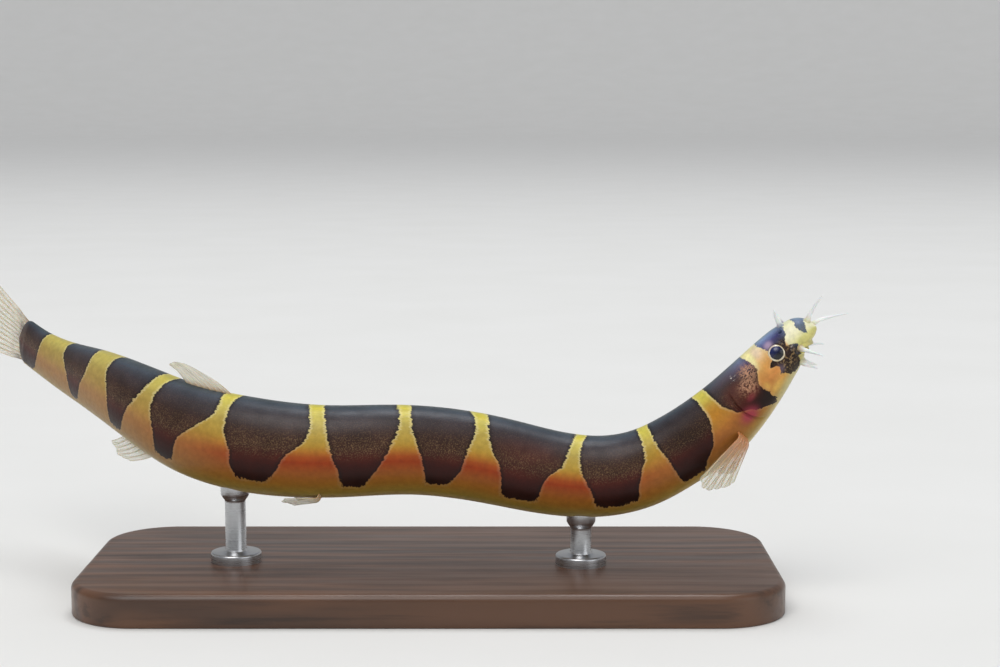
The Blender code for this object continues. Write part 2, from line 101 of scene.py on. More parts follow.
# Dark bands: rows of how far round from the belly, then the band's front and rear edge there
BANDS = [
    [(66, 0.8, 0.9), (90, 0.7, 1.1), (120, 0.62, 1.2), (150, 0.45, 1.25), (180, 0.3, 1.3)],
    [(24, 2.85, 3.9), (48, 2.65, 4.25), (56, 2.3, 4.45), (66, 2.08, 4.72), (76, 2.05, 4.4),
     (83, 2.3, 4.45), (90, 2.6, 5.0), (96, 2.75, 4.5), (106, 2.52, 4.3), (120, 2.15, 4.2),
     (150, 2.1, 4.55), (180, 2.15, 4.7)],
    [(23, 6.8, 7.0), (45, 6.55, 7.5), (60, 6.6, 8.25), (74, 6.65, 8.75), (83, 6.65, 9.5),
     (91, 6.5, 9.75), (105, 5.85, 10.1), (120, 5.78, 10.2), (150, 6.05, 10.35), (180, 6.25, 10.6)],
    [(42, 14.7, 16.6), (60, 14.0, 16.7), (75, 12.9, 16.7), (90, 12.2, 16.75), (105, 11.75, 17.0),
     (130, 11.55, 17.1), (180, 11.9, 17.25)],
    [(50, 20.3, 23.5), (75, 19.9, 23.75), (90, 19.4, 24.25), (105, 18.75, 24.75),
     (130, 18.4, 24.95), (180, 18.6, 24.4)],
    [(51, 28.2, 31.3), (75, 28.0, 31.55), (90, 27.7, 31.9), (105, 26.6, 32.75),
     (130, 26.15, 33.4), (180, 25.5, 33.65)],
    [(53, 36.4, 38.3), (75, 35.4, 38.55), (90, 35.1, 38.8), (105, 34.85, 39.25),
     (130, 34.5, 39.65), (180, 35.0, 39.75)],
    [(49, 43.7, 45.4), (75, 42.5, 45.6), (90, 41.75, 46.05), (105, 41.2, 46.3),
     (130, 40.65, 46.6), (180, 40.8, 47.0)],
    [(55, 51.2, 53.6), (75, 50.4, 54.1), (90, 49.75, 54.25), (105, 48.4, 54.75),
     (130, 47.9, 55.0), (180, 48.4, 54.9)],
    [(53, 59.4, 61.2), (75, 59.2, 61.4), (90, 58.9, 61.8), (105, 57.75, 62.3),
     (130, 56.15, 62.5), (180, 56.5, 62.2)],
    [(51, 65.9, 67.4), (90, 65.2, 68.0), (105, 64.6, 68.4), (130, 63.9, 69.2), (180, 63.7, 69.4)],
    [(49, 73.7, 74.9), (90, 72.9, 75.6), (105, 72.3, 76.2), (130, 72.2, 77.0), (180, 72.5, 77.2)],
    [(30, 82.9, 87.5), (90, 82.0, 87.5), (180, 81.4, 87.5)],
]
LEFT_SHIFT = 0.3  # how far the bands of the left flank may lie from those of the right

# Patches of colour: tint, strength, and places: how far along and round, reach along and round, share
PATCHES = {
    "copper": ("c49272", 0.88, [(6.5, 119, 0.75, 20, 1), (7.3, 100, 0.8, 14, 1)]),
    "wine": ("663229", 0.7, [(8.4, 106, 1.3, 20, 1), (7.4, 88, 0.8, 9, 1), (29.8, 114, 3.2, 20, 0.4)]),
    "gill_red": ("9a3446", 0.92, [(9.1, 66, 0.85, 13, 1), (7.9, 84, 0.45, 5, 0.36)]),
    # ink_and_shade: dark marks on the face and lower flank, and painted shade over the band 12 to 17 mm
    # from the snout (its last place)
    "ink_and_shade": ("120806", 0.75, [(4.65, 92, 0.45, 5, 1), (2.35, 70, 0.3, 9, 0.8), (7.1, 60, 0.8, 18, 0.7),
                             (14.4, 115, 2.6, 46, 0.55)]),
    "rosy": ("ecd3bb", 0.7, [(4.95, 138, 0.5, 20, 1)]),
    "amber": ("c27e2a", 0.6, [(11.0, 106, 0.9, 22, 1)]),
    "yellow": ("faf2ae", 0.92, [(5.68, 135, 0.36, 26, 1)]),
    "gold": ("dfb45c", 0.7, [(5.8, 55, 0.6, 9, 1), (6.3, 74, 0.3, 9, 0.9)]),
    "lilac": ("bca4be", 0.75, [(3.85, 128, 0.4, 12, 1), (4.45, 72, 0.4, 9, 0.25),
                               (7.8, 150, 1.8, 18, 0.12)]),
    "speckle": ("a98a5c", 0.6, [(3.4, 68, 1.3, 22, 1), (2.6, 90, 0.4, 8, 1), (3.0, 100, 0.4, 12, 0.6)]),
    # glint_and_pale_fleck: at 7.9 mm high on the flank a painted glint of wet skin; behind the mouth's
    # corner a pale fleck
    "glint_and_pale_fleck": ("d8cfc6", 0.8, [(7.9, 131, 0.4, 8, 1), (2.6, 80, 0.4, 5, 0.8)]),
    "rear": ("a28f5e", 0.45, []),  # make_skin says where this and the next lie
    # crease: painted shade in the mouth's line and under the gill cover's edge
    "crease": ("2a1412", 0.75, []),
}
FOOT_SOFTNESS = 0.2  # how round the lower corners of a band are

# The colours of the gaps and of the dark bands, from the middle of the belly (0) to that of the back (1);
# they hold painted sheen on the bands' back and painted shade on the gaps' lower flank
SKIN_COLOURS = {
    # gap_body and gap_calm darken over the lower flank: the orange there is the fish's own colour, darkened
    # further as painted shade
    "gap_body": {0: "d2c49c", 0.1: "c6b27c", 0.2: "988038", 0.3: "926324", 0.4: "94501c", 0.47: "95380e",
                 0.5: "a24c1a", 0.535: "b2762c", 0.57: "b58e38", 0.6: "b79742", 0.7: "b39d4a",
                 0.8: "c6b658", 0.92: "d2c348", 1: "c2b746"},
    "gap_calm": {0: "d2c49c", 0.1: "c6b27c", 0.2: "a0803c", 0.3: "98642a", 0.4: "9a5e28", 0.47: "a8692e",
                 0.52: "b07c34", 0.6: "ae8530", 0.68: "b6983c", 0.8: "cabb52", 0.92: "d0c450", 1: "c2b74c"},
    "gap_face": {0: "cbc39c", 0.2: "c6b87c", 0.3: "cf9d50", 0.42: "d18c4a", 0.55: "dba058",
                 0.66: "e2b678", 0.8: "e8d49c", 1: "dcd9aa"},
    "gap_snout": {0: "d0c89c", 0.25: "d3ca7c", 0.42: "d9d488", 0.53: "f2edc2", 0.66: "f1edcc",
                  0.8: "eae6bc", 1: "d6d8ae"},
    # dark_body and dark_face turn bluish grey towards the back: painted sheen over the bands' dark brown
    "dark_body": {0: "3c2418", 0.34: "260c06", 0.44: "380e07", 0.49: "46160d", 0.55: "3f281e",
                  0.66: "3c2b27", 0.78: "3c363a", 0.9: "404852", 1: "384448"},
    "dark_face": {0: "403626", 0.4: "2b1e18", 0.5: "3a2622", 0.62: "241d2c", 0.74: "45467a",
                  0.86: "788ab0", 1: "82999f"},
}
SOFT_DEPTH = 0.0004  # how far light sinks into what is soft, in metres

# Fins
DORSAL = {"start": 55.5, "end": 60.7, "turn": 180, "lean": (24, 2),
          "lengths": (5.2, 5.6, 5.5, 5.1, 4.6, 4.0, 3.4, 2.8)}
ANAL = {"start": 62.7, "end": 67.2, "turn": 0, "lean": (34, 22),
        "lengths": (3.9, 4.5, 4.4, 4.0, 3.6, 3.1, 2.6)}
CAUDAL = {"rays": 13, "spread": 12, "length": 8.9, "notch": 0.5, "margin": 0.3}
PECTORAL = {"at": 10.75, "turn": 48, "fold": 76, "bend": 1.0, "spread": 15, "base": 1.3,
            "lengths": (5.6, 6.0, 5.8, 5.3, 4.7, 4.0)}
PELVIC = {"at": 47.2, "turn": 26, "fold": 86, "bend": 0.7, "spread": 12, "base": 0.9,
          "lengths": (3.2, 3.5, 3.3, 3.0, 2.6)}
ROOT_SUNK = 0.35  # how deep a fin's root lies in the skin
MEMBRANE = 0.04  # half the thickness between the rays
RAY_RIDGE = 0.06
RAY_WIDTH = 0.1  # as a share of the space between two rays
RAY_SPLITS = ((0.24, 0.4), (0.09, 0.72))  # how far its branches part, and how far out they begin
FRAYING = 0.05  # how far the margin is worn back between the rays
FIN_COLUMNS = 20  # between two rays
FIN_ROWS = 40
FOLD_STEPS = 24

# Feelers, as the solids place them: where and how far round, the way they point, and their length
BARBELS = {
    "rostral_barbel_right": (0.3, 138, (0.93, 0.2, 0.37), 2.4),
    "rostral_barbel_left": (0.3, -85, (0.87, 0.34, -0.42), 3.3),
    "maxillary_barbel_right": (2.1, 58, (0.5, 0.5, -0.7), 2.2),
    "maxillary_barbel_left": (2.1, -58, (0.6, 0.6, -0.6), 2.3),
    "mandibular_barbel_right": (2.9, 24, (0.5, 0.15, -0.85), 1.2),
    "mandibular_barbel_left": (2.9, -24, (0.45, 0.2, -0.85), 1.2),
    "nasal_barbel_right": (2.15, 155, (0.22, 0.25, 0.95), 1.2),
    "nasal_barbel_left": (2.15, -155, (0.22, 0.2, 0.95), 1.2),
}
GAP = 0.3  # the solids' gap at each root
BARBEL_BEND = 0.35
BARBEL_SUNK = 0.3
BARBEL_ROOT = 0.25
BARBEL_TIP = 0.035
ROOT_RINGS = 8
FREE_RINGS = 26
BARBEL_SIDES = 20
BARBEL_FLARE = 0.35  # how much broader a feeler is where it leaves the skin
BARBEL_SWAY = 0.05
TIP_TAPER = 0.6  # over each of the last two rings
MOUND = {"height": 0.1, "width": 0.34}  # the fleshy foot of each feeler
FLAP_ROOT = 0.25  # the nasal flaps: half their width, and their thickness as a share of it
FLAP_FLATNESS = 0.35
BARBEL_TINTS = {"rostral": "d8cf9c", "maxillary": "b9a878", "mandibular": "cfc79c", "nasal": "8d93a6"}

# The stand
BASE = {"length": 60.0, "width": 26.0, "height": 2.8, "corner": 6.0, "edge": 0.6, "foot": 0.15}
ROD_RADIUS = 0.9
COLLAR_RADIUS = 2.2
COLLAR_HEIGHT = 0.9
COLLAR_EDGE = 0.22
LATHE_STEPS = 64
RODS = {"stand_rod_front": 13.0, "stand_rod_rear": -17.0}
CRADLE = {"radius": 1.25, "height": 1.3, "sunk": 0.04}

# The camera, as the photo was taken
CAMERA = {"location": (6.0, -167.05, 43.14), "target": (6.0, -3.0, 23.0), "lens": 70.0}

# The studio: lamps with their place, what they light, their width, watts and tint; the floor in metres
LAMPS = {
    "key": ((-260, -560, 900), (0, 0, 18), 620, 2.8, (1.0, 0.98, 0.95)),
    "fill": ((800, -620, 380), (0, 0, 15), 800, 1.5, (0.95, 0.98, 1.0)),
    "top": ((60, 220, 950), (0, 0, 18), 500, 3.2, (0.96, 0.98, 1.0)),
}
FLOOR = {"flat": 1.8, "sweep": 1.2, "steps": 18}


# Places and directions along the fish


def curve(table, at):
    """The columns of a table at places between its rows, on smooth curves through them."""
    rows = np.array(table, float)
    places, values = rows[:, 0], rows[:, 1:]
    index = np.arange(len(rows))
    before, after = np.maximum(index - 1, 0), np.minimum(index + 1, len(rows) - 1)
    slopes = (values[after] - values[before]) / (places[after] - places[before])[:, None]
    at = np.clip(at, places[0], places[-1])
    low = np.clip(np.searchsorted(places, at, side="right") - 1, 0, len(rows) - 2)
    span = (places[low + 1] - places[low])[..., None]
    t = (at - places[low])[..., None] / span
    return (
        values[low] * (2 * t**3 - 3 * t**2 + 1)
        + slopes[low] * span * (t**3 - 2 * t**2 + t)
        + values[low + 1] * (3 * t**2 - 2 * t**3)
        + slopes[low + 1] * span * (t**3 - t**2)
    )


def heading(at):
    """The way the fish faces at each place along it."""
    pitch, yaw = np.moveaxis(np.radians(curve(BENDS, at)), -1, 0)
    return np.stack([np.cos(pitch) * np.cos(yaw), np.cos(pitch) * np.sin(yaw), np.sin(pitch)], -1)


def middle_line():
    """Points along the fish, a step apart, walked back from the snout."""
    count = math.ceil(TOTAL_LENGTH / STEP) + 8
    steps = heading((np.arange(count) + 0.5) * STEP) * STEP
    return np.concatenate([[SNOUT], SNOUT - np.cumsum(steps, axis=0)])


LINE = middle_line()


def unit(vectors):
    return vectors / np.linalg.norm(vectors, axis=-1, keepdims=True)


def frame_at(at):
    """The middle line's point at each place, and the fish's forward, right and up directions there."""
    place = np.maximum(at / STEP, 0.0)
    low = np.minimum(place.astype(int), len(LINE) - 2)
    part = (place - low)[..., None]
    point = LINE[low] * (1 - part) + LINE[low + 1] * part
    forward = heading(at)
    right = unit(np.cross(forward, (0.0, 0.0, 1.0)))
    return point, forward, right, np.cross(right, forward)


def outline_at(at):
    """Back, belly and half width at each place, rounded off at the snout and thinned at the tail's end."""
    short = 1 - np.clip(at, 0, SNOUT_ROUND) / SNOUT_ROUND
    sizes = curve(OUTLINE, at) * np.sqrt(1 - short**2)[..., None]
    past = np.clip((at - BODY_LENGTH) / (TAIL_END["end"] - BODY_LENGTH), 0, 0.995)
    sizes[..., 2] *= 1 - (1 - TAIL_END["thick"]) * past
    sizes[..., :2] *= np.sqrt(1 - past**2)[..., None]
    return sizes


def power(value, exponent):
    return np.sign(value) * np.abs(value) ** exponent


def bump(distance, width):
    """A smooth hump, 1 at its middle."""
    return np.exp(-((distance / width) ** 2))


def fade(value, start, end):
    """1 before start, 0 past end, and smooth between."""
    t = np.clip((value - start) / (end - start), 0, 1)
    return 1 - t * t * (3 - 2 * t)


def from_belly(turn):
    """Degrees from the middle of the belly, the same on both flanks."""
    return np.abs((turn + 180) % 360 - 180)


def mouth_curve(turn):
    """How much further back than its middle the line of the mouth lies."""
    corner = MOUTH_CORNER["turn"]
    share = np.minimum(from_belly(turn) / corner, 1.1)
    return MOUTH_CORNER["back"] * share**2 * fade(from_belly(turn), corner + 6, 130)


def gill_curve(turn):
    """How much further forward than its rearmost point the edge of the gill cover lies."""
    return GILL_CURVE * np.minimum(((from_belly(turn) - GILL_TURN) / GILL_SPAN) ** 2, 1)


def bent(at, turn):
    """Where a ring of the head passes, so that rings run along the mouth and the gill cover's edge."""
    mouth = fade(MOUTH_AT - at, 0.5, MOUTH_AT) * fade(at - MOUTH_AT, 0.9, 3.3)
    gill = fade(GILL_AT - at, 0.6, 3.2) * fade(at - GILL_AT, 0.2, HEAD_END - GAP / 2 - GILL_AT)
    return at + mouth * mouth_curve(turn) - gill * gill_curve(turn)


def skin_normal(at, turn):
    """The way out of the skin there, leaning with the taper of the body."""
    _, forward, right, up = frame_at(at)
    back, belly, half = np.moveaxis(outline_at(at), -1, 0)
    angle = np.radians(turn)
    way = 2 - 2 / SQUARENESS
    across = power(np.sin(angle), way) / np.maximum(half, 0.01)
    rise = power(-np.cos(angle), way) / np.maximum((back + belly) / 2, 0.01)
    flat = unit(right * across[..., None] + up * rise[..., None])
    swell = (outline_at(at + 0.2).sum(-1) - outline_at(at - 0.2).sum(-1)) / 3 / 0.4
    return unit(flat + forward * swell[..., None])


def plain_skin(at, turn):
    """A point of the skin without the head's own forms; turn is 0 at the belly and 180 on the back."""
    point, _, right, up = frame_at(at)
    back, belly, half = np.moveaxis(outline_at(at), -1, 0)
    angle = np.radians(turn)
    across = half * power(np.sin(angle), 2 / SQUARENESS)
    rise = (back - belly) / 2 + (back + belly) / 2 * power(-np.cos(angle), 2 / SQUARENESS)
    return point + right * across[..., None] + up * rise[..., None]


def head_relief(at, turn):
    """How far the lips, the line of the mouth and the gill covers stand out of the plain head."""
    round_belly, corner = from_belly(turn), MOUTH_CORNER["turn"]
    along = at - MOUTH_AT - mouth_curve(turn)
    knobs = 1 + PAPILLAE["height"] * np.cos(np.radians(turn) * PAPILLAE["count"])
    notch = 1 - 0.9 * bump(round_belly, 8)
    shares = {"upper lip": knobs, "lower lip": knobs * notch, "line": fade(round_belly, 26, 60)}
    lips = fade(round_belly, corner - 10, corner + 12) * sum(
        height * shares.get(name, 1) * bump(along - behind, width)
        for name, (behind, height, width) in MOUTH_FORMS.items()
    )
    past = at - GILL_AT + gill_curve(turn)
    step = fade(past, -0.06, 0.12)
    cover = GILL_BULGE * step * fade(-past, 0.1, 3.0) - GILL_GROOVE * (1 - step) * fade(past, 0.1, 0.4)
    cover *= fade(np.abs(round_belly - GILL_TURN + 8), 0.3 * GILL_SPAN, 0.8 * GILL_SPAN)
    return np.where(at > HEAD_END, 0.0, lips + cover)


def crease(at, turn):
    """1 deep in the mouth's line and under the gill cover's edge, where painted shade darkens the skin."""
    along = at - MOUTH_AT - mouth_curve(turn)
    mouth = bump(along, 0.08) * fade(from_belly(turn), 24, 56)
    past = at - GILL_AT + gill_curve(turn)
    gill = 0.16 * bump(past - 0.12, 0.1) * fade(np.abs(from_belly(turn) - GILL_TURN + 8), 12, 42)
    return np.maximum(mouth, gill)


def face_relief(points, at, turn):
    """The finer forms of the face: the skin's rim round each eye, nostrils and the groove below the eye."""
    lift = np.zeros(len(at))
    for side in SIDES.values():
        centre, outward = eye_place(side)
        way = points - centre
        radius = np.linalg.norm(way - outward * (way @ outward)[:, None], axis=1)
        near = (way @ outward > -1.0) & (radius < 1.6)
        rim = EYE_RIM["height"] * bump(radius - EYE_RIM["radius"], EYE_RIM["width"])
        socket = EYE_SOCKET["depth"] * fade(radius, EYE_SOCKET["floor"], EYE_SOCKET["wall"])
        lift += np.where(near, rim - socket, 0.0)
        away = np.linalg.norm(points - plain_skin(NOSTRIL["at"], NOSTRIL["turn"] * side), axis=1)
        radius = NOSTRIL["radius"]
        lift += NOSTRIL["rim"] * bump(away - radius * 2, radius * 0.6)
        lift -= NOSTRIL["depth"] * fade(away, radius * 0.5, radius * 1.5)
    for root_at, root_turn, _, _ in BARBELS.values():
        away = np.linalg.norm(points - plain_skin(root_at, root_turn), axis=1)
        lift += MOUND["height"] * bump(away, MOUND["width"])
    groove = CHEEK_GROOVE
    along = fade(groove["start"] - at, 0, 0.4) * fade(at - groove["end"], 0, 0.4)
    across = (from_belly(turn) - groove["turn"]) * HEAD_DEGREE
    return lift - groove["depth"] * bump(across, groove["width"]) * along


def skin_point(at, turn, lift=0.0):
    """A point of the skin with the head's forms, or the given lift over it."""
    return plain_skin(at, turn) + skin_normal(at, turn) * (head_relief(at, turn) + lift)[..., None]


def eye_place(side):
    """The middle of an eye and the way it looks."""
    at, turn = EYE_AT, EYE_TURN * side
    outward = skin_normal(at, turn)
    return skin_point(at, turn) - outward * (EYE_RADIUS * EYE_FLATNESS - EYE_PROUD), outward


# Meshes and objects


def vertex_values(mesh, name):
    values = np.zeros(len(mesh.vertices), np.int32)
    mesh.attributes[name].data.foreach_get("value", values)
    return values


def store(mesh, **named_values):
    """Writes values, or vectors, on the vertices."""
    for name, values in named_values.items():
        kind, field = ("FLOAT_VECTOR", "vector") if np.ndim(values) == 2 else ("FLOAT", "value")
        layer = mesh.attributes.new(name, kind, "POINT")
        layer.data.foreach_set(field, np.ascontiguousarray(values, np.float32).ravel())


def move_vertices(mesh, points):
    mesh.vertices.foreach_set("co", (points * MM).astype(np.float32).ravel())
    mesh.update()


def place_object(name, data):
    item = bpy.data.objects.new(name, data)
    bpy.context.scene.collection.objects.link(item)
    return item


def finish_mesh(name, mesh, material, merge=0.0, sharp=None):
    """Closes a mesh, turns its faces outwards and makes it a piece of the model."""
    bm = bmesh.new()
    bm.from_mesh(mesh)
    if merge:
        bmesh.ops.remove_doubles(bm, verts=bm.verts, dist=merge)
    bmesh.ops.recalc_face_normals(bm, faces=bm.faces)
    bm.to_mesh(mesh)
    bm.free()
    mesh.shade_smooth()
    if sharp:
        mesh.set_sharp_from_angle(angle=math.radians(sharp))
    mesh.materials.append(material)
    piece = place_object(name, mesh)
    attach(piece, "root")
    return piece


def numbered_grid(columns, rows, uv_name=None):
    """A flat grid as a mesh whose vertices know their column and row."""
    bm = bmesh.new()
    if uv_name:
        bm.loops.layers.uv.new(uv_name)
    column = bm.verts.layers.int.new("column")
    row = bm.verts.layers.int.new("row")
    bmesh.ops.create_grid(bm, x_segments=columns, y_segments=rows, size=0.5, calc_uvs=bool(uv_name))
    for vert in bm.verts:
        vert[column] = round((vert.co.x + 0.5) * columns)
        vert[row] = round((vert.co.y + 0.5) * rows)
    return bm


def to_mesh(name, bm, size=1):
    bmesh.ops.scale(bm, vec=(size, size, size), verts=bm.verts)
    mesh = bpy.data.meshes.new(name)
    bm.to_mesh(mesh)
    bm.free()
    return mesh


# The pieces


def band_depth(at, turn):
    """How far inside a dark band each place of the skin lies; outside it is less than 0."""
    round_belly = from_belly(turn)
    left = np.where((turn + 180) % 360 - 180 < 0, 1.0, 0.0) * fade(round_belly, 140, 178)
    degree = math.pi / 180 * np.maximum(outline_at(at)[:, 2], 0.8) * 1.2  # its breadth on the flank
    depth = np.full(len(at), -9.0)
    for number, band in enumerate(BANDS):
        front, rear = curve(band, round_belly).T
        shift = LEFT_SHIFT * math.sin(2.3 * number + 1) * left * min(number / 3, 1)
        below = (round_belly - band[0][0]) * degree
        sides = np.minimum(at - front - shift, rear + shift - at)
        foot = -FOOT_SOFTNESS * np.logaddexp(-sides / FOOT_SOFTNESS, -below / FOOT_SOFTNESS)
        depth = np.maximum(depth, foot)
    return depth


def patch(places, at, turn):
    """A soft patch of colour, 1 at its middle."""
    mask = np.zeros(len(at))
    for middle, middle_turn, reach, reach_turn, strength in places:
        away = ((at - middle) / reach) ** 2 + ((from_belly(turn) - middle_turn) / reach_turn) ** 2
        mask = np.maximum(mask, strength * np.exp(-(away**1.5)))
    return mask


def ring_places():
    """Where the skin's rings lie along the fish, closest on the head."""
    angles = np.linspace(0, math.radians(80), SNOUT_RINGS)
    places = list(SNOUT_ROUND * (1 - np.cos(angles)))
    for end, step in SKIN_RINGS:
        count = round((end - places[-1]) / step)
        places += list(np.linspace(places[-1], end, count + 1)[1:])
    lobe = np.sin(np.linspace(0, math.pi / 2, TAIL_END["rings"] + 1)[1:])
    places += list(places[-1] + (TAIL_END["end"] - places[-1]) * lobe)
    return np.array(places)


def make_skin(material):
    """One skin over head, body and tail."""
    rings = ring_places()
    mesh = to_mesh("skin", numbered_grid(len(rings), SKIN_SIDES, "OFBake"))
    ring = vertex_values(mesh, "column")
    side = vertex_values(mesh, "row")
    closing = ring == len(rings)
    ring = np.minimum(ring, len(rings) - 1)
    turn = 360.0 * side / SKIN_SIDES
    at = bent(rings[ring], turn)
    plain = plain_skin(at, turn)
    lift = head_relief(at, turn)
    face = at < FACE_END
    lift[face] += face_relief(plain[face], at[face], turn[face])
    points = plain + skin_normal(at, turn) * lift[:, None]
    points[closing] = frame_at(TAIL_END["end"] + 0.02)[0]
    points[ring == 0] = points[ring == 0].mean(axis=0)
    move_vertices(mesh, points)
    angle = np.radians(turn)
    back, belly, half = outline_at(at).T
    straight = np.stack([at, half * np.sin(angle), -(back + belly) / 2 * np.cos(angle)], -1)
    store(
        mesh, straight=straight, height=from_belly(turn) / 180, band=band_depth(at, turn),
        face=fade(at, 4.5, 8.5), snout=fade(at, 1.7, 2.9), toothed=1 - 0.6 * fade(at, 10.5, 13.5),
        blush=(1 - fade(at, 15, 24)) * (0.35 + 0.65 * fade(at, 52, 60)), rear=1 - fade(at, 51, 70),
        crease=crease(at, turn),
        **{name: patch(places, at, turn) for name, (_, _, places) in PATCHES.items() if places},
    )
    skin = finish_mesh("skin", mesh, material, merge=2e-8)
    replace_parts(skin, "head", "body_front", "body_mid", "body_rear", "tail")


def ray_height(from_ray, reach):
    """How high a ray stands at each place of a fin: each ray splits in two, and again near the margin."""
    split, second = (apart * np.clip((reach - start) / (1 - start), 0, 1) for apart, start in RAY_SPLITS)
    width = RAY_WIDTH * (1 - 0.55 * reach)
    branches = [first * split + last * second for first in (1, -1) for last in (1, -1)]
    return np.max([bump(from_ray - branch, width) for branch in branches], axis=0)


def make_fin(name, material, rays, place):
    """A thin fin whose two faces are ridged by its rays; place gives its middle and its sideways way."""
    columns = (rays - 1) * FIN_COLUMNS
    bm = numbered_grid(columns, FIN_ROWS)
    near = bm.verts.layers.int.new("near")
    made = bmesh.ops.extrude_face_region(bm, geom=bm.faces[:])["geom"]
    for vert in (item for item in made if isinstance(item, bmesh.types.BMVert)):
        vert[near] = 1
    mesh = to_mesh(name, bm)
    column = vertex_values(mesh, "column").astype(float)
    reach = vertex_values(mesh, "row") / FIN_ROWS
    face = vertex_values(mesh, "near") * 2.0 - 1
    from_ray = (column / FIN_COLUMNS + 0.5) % 1 - 0.5
    ray = ray_height(from_ray, reach)
    torn = 0.4 + 0.3 * np.sin(np.floor(column / FIN_COLUMNS + 0.5) * 2.7)
    shorter = 1 - FRAYING * torn * (from_ray * 2) ** 2 * np.clip((reach - 0.6) / 0.4, 0, 1)
    middle, sideways = place(column / FIN_COLUMNS, reach * shorter)
    edge = np.clip(np.minimum(column, columns - column) / 5, 0, 1)
    thick = (MEMBRANE + RAY_RIDGE * ray) * (1 - 0.75 * reach**2) + 0.05 * (1 - reach) ** 6
    thick *= 0.35 + 0.65 * edge
    move_vertices(mesh, middle + sideways * (face * thick)[:, None])
    dusky, warm = (np.full(len(column), float(name.startswith(fin))) for fin in ("caudal", "pectoral"))
    store(mesh, ray=ray, reach=reach, dusky=dusky, warm=warm)
    return finish_mesh(name, mesh, material)


def between(values, place):
    return np.interp(place, np.arange(len(values)), values)


def median_fin_place(fin):
    """The middle sheet of the dorsal or anal fin."""
    rays = len(fin["lengths"])
    root_lean, tip_lean = np.radians(fin["lean"])

    def place(ray, reach):
        start = fin["start"] + (fin["end"] - fin["start"]) * ray / (rays - 1)
        run = between(fin["lengths"], ray) * reach
        lean = root_lean + (tip_lean - root_lean) * reach / 2
        at = start + run * np.cos(lean)
        lift = GAP * reach - ROOT_SUNK * (1 - reach) ** 3 + run * np.sin(lean)
        _, _, right, _ = frame_at(at)
        wave = 0.1 * np.sin(ray * 2.1 + reach * 3) * reach**1.5
        return skin_point(at, fin["turn"], lift) + right * wave[:, None], right

    return rays, place


def caudal_fin_place():
    """The middle sheet of the tail fin."""
    rays = CAUDAL["rays"]
    back, belly, _ = outline_at(BODY_LENGTH)

    def place(ray, reach):
        share = 2 * ray / (rays - 1) - 1
        foot = (back - belly) / 2 + share * ((back + belly) / 2 - CAUDAL["margin"])
        length = CAUDAL["length"] * (1 - 0.04 * share**2) - CAUDAL["notch"] * (1 - np.abs(share)) ** 2
        angle = np.radians(CAUDAL["spread"]) * share * (0.35 + 0.65 * np.minimum(reach * 3, 1))
        run = length * reach
        point, _, right, up = frame_at(BODY_LENGTH - 0.6 + run * np.cos(angle) * 1.06)
        height = foot + run * np.sin(angle)
        wave = 0.22 * np.sin(ray * 0.9 + 0.6) * reach**2
        return point + up * height[:, None] + right * wave[:, None], right

    return rays, place


def paired_fin_place(fin, side):
    """The middle sheet of a pectoral or pelvic fin: out of the skin, then folded back along the body."""
    rays = len(fin["lengths"])
    at, turn = fin["at"], fin["turn"] * side
    outward = skin_normal(at, turn)
    _, forward, _, _ = frame_at(at)
    backward = unit(-forward + outward * (forward @ outward))
    across = np.cross(outward, backward) * side
    step = skin_point(at, turn + 1) - skin_point(at, turn)
    per_degree = math.copysign(np.linalg.norm(step), step @ across)
    fold, bend = np.radians(fin["fold"]), fin["bend"]

    def place(ray, reach):
        length = between(fin["lengths"], ray) * reach
        steps = (np.arange(FOLD_STEPS)[:, None] + 0.5) / FOLD_STEPS
        angles = fold * (1 - fade(steps * length, 0, bend))
        out, back = np.cos(angles).mean(axis=0) * length, np.sin(angles).mean(axis=0) * length
        folded = np.minimum(length / bend, 1)
        lean = fold * folded
        share = ray / (rays - 1) - 0.5
        fan = np.radians(fin["spread"]) * 2 * share
        out -= ROOT_SUNK * (1 - folded) ** 2
        out += 0.08 * np.sin(ray * 1.7) * reach**2
        root = skin_point(at, turn + share * fin["base"] / per_degree)
        middle = root + outward * out[:, None] + backward * (back * np.cos(fan))[:, None]
        middle += across * (back * np.sin(fan))[:, None]
        return middle, backward * np.cos(lean)[:, None] - outward * np.sin(lean)[:, None]

    return rays, place


def make_fins(material):
    fins = {"dorsal_fin": median_fin_place(DORSAL), "anal_fin": median_fin_place(ANAL),
            "caudal_fin": caudal_fin_place()}
    for word, side in SIDES.items():
        fins["pectoral_fin_" + word] = paired_fin_place(PECTORAL, side)
        fins["pelvic_fin_" + word] = paired_fin_place(PELVIC, side)
    for name, (rays, place) in fins.items():
        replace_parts(make_fin(name + "_membrane", material, rays, place), name)


def barbel_line(at, turn, way, length):
    """Points along a feeler from inside the skin to its tip, the way it runs there, and how far out."""
    outward = skin_normal(at, turn)
    _, forward, right, up = frame_at(at)
    ahead, aside, rise = way
    way = unit(forward * ahead + right * (aside * math.copysign(1, turn)) + up * rise)
    root = skin_point(at, turn, GAP)
    step = length / (FREE_RINGS - 1)
    centre, points, ways = root, [], []
    for number in range(FREE_RINGS):
        share = number / (FREE_RINGS - 1)
        bent_share = min(share / BARBEL_BEND, 1.0)
        facing = unit(outward * (1 - bent_share) + way * bent_share)
        if number:
            centre = centre + facing * step
        points.append(centre + up * (BARBEL_SWAY * math.sin(4.4 * share) * share))
        ways.append(facing)
    deep = GAP + BARBEL_SUNK
    below = [deep * (1 - i / ROOT_RINGS) for i in range(ROOT_RINGS)]
    points = [root - outward * depth for depth in below] + points
    ways = [outward] * ROOT_RINGS + ways
    free = [GAP - depth for depth in below] + [GAP + step * i for i in range(FREE_RINGS)]
    return points, ways, free


